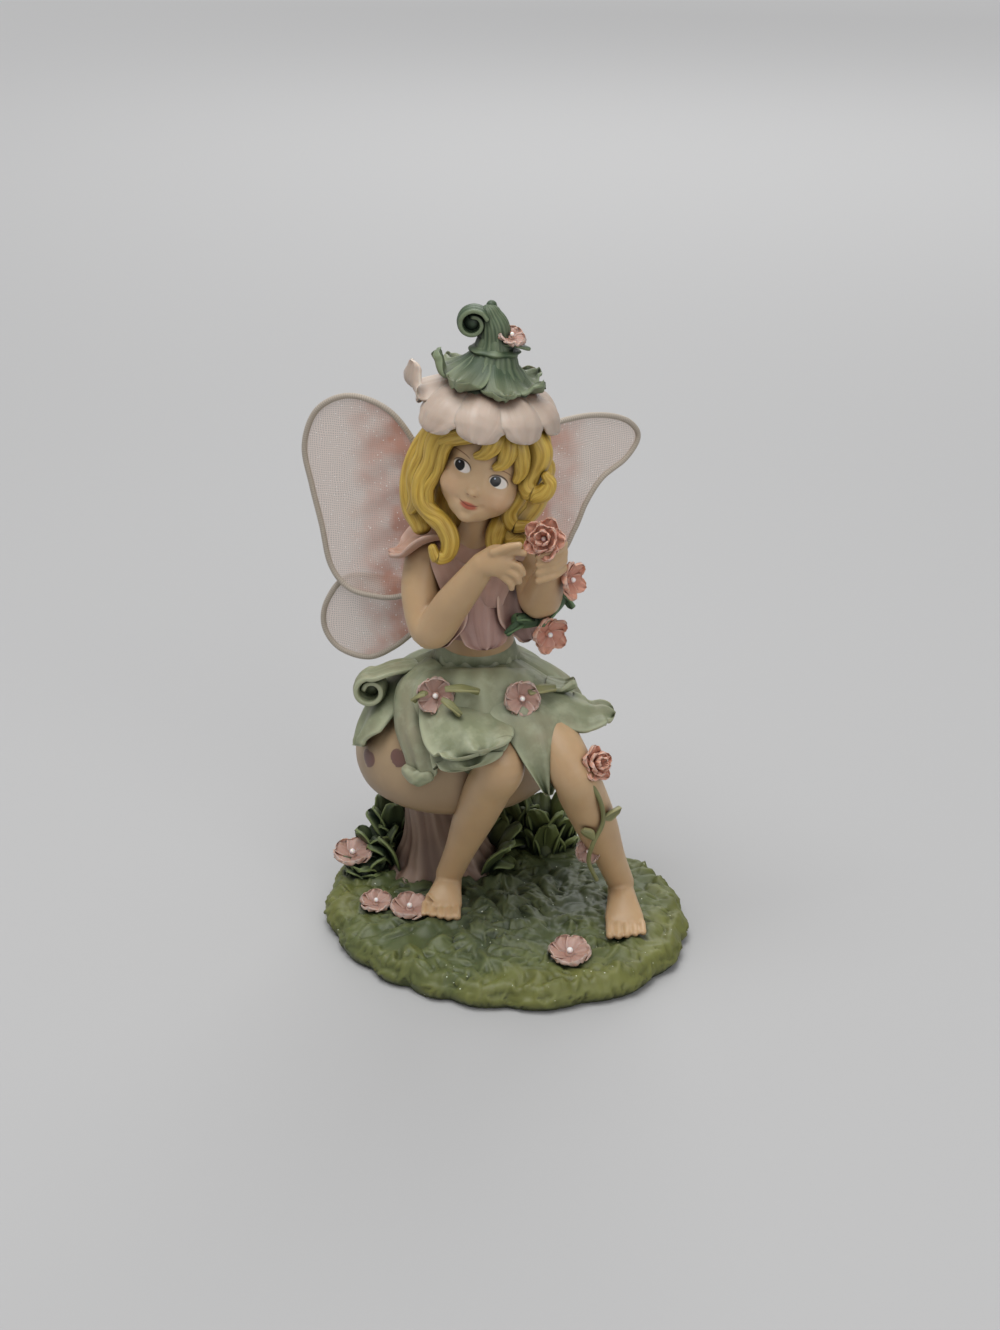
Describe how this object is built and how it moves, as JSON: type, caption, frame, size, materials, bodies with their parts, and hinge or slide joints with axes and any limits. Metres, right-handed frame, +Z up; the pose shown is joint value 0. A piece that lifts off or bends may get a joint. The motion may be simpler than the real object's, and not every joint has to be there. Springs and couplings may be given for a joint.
{
  "type": "garden fairy figurine",
  "caption": "Cast resin figurine of a barefoot fairy in a petal hat and leaf skirt, sitting on a toadstool on a grassy oval base, with wire and net wings.",
  "frame": {"origin": "centre of the base's flat underside", "axes": "+Z up, -Y towards the side that the fairy faces, +X to a viewer's right when looking at that side"},
  "size_m": [0.0831, 0.0765, 0.1404],
  "materials": {
    "painted_resin": "hand-painted cast resin",
    "pink_resin": "painted resin, waxy",
    "pearl": "pearl lustre",
    "wrapped_wire": "thread-wrapped wire",
    "wing_net": "fine stretched net with a sheen"
  },
  "bodies": {
    "root": {"resin_casting": "painted_resin", "right_upper_wing_wire": "wrapped_wire", "right_lower_wing_wire": "wrapped_wire", "left_upper_wing_wire": "wrapped_wire", "left_lower_wing_wire": "wrapped_wire", "right_upper_wing_net": "wing_net", "right_lower_wing_net": "wing_net", "left_upper_wing_net": "wing_net", "left_lower_wing_net": "wing_net", "hat_flower": "pink_resin", "hand_flower": "pink_resin", "arm_flower_upper": "pink_resin", "arm_flower_lower": "pink_resin", "skirt_flower_right": "pink_resin", "skirt_flower_left": "pink_resin", "knee_flower": "pink_resin", "shin_flower": "pink_resin", "ground_flower_left": "pink_resin", "ground_flower_pair_outer": "pink_resin", "ground_flower_pair_inner": "pink_resin", "ground_flower_right": "pink_resin", "hat_bead": "pearl", "hand_bead": "pearl", "arm_bead_upper": "pearl", "arm_bead_lower": "pearl", "skirt_bead_right": "pearl", "skirt_bead_left": "pearl", "knee_bead": "pearl", "shin_bead": "pearl", "ground_bead_left": "pearl", "ground_bead_pair_outer": "pearl", "ground_bead_pair_inner": "pearl", "ground_bead_right": "pearl"}
  },
  "joints": []
}
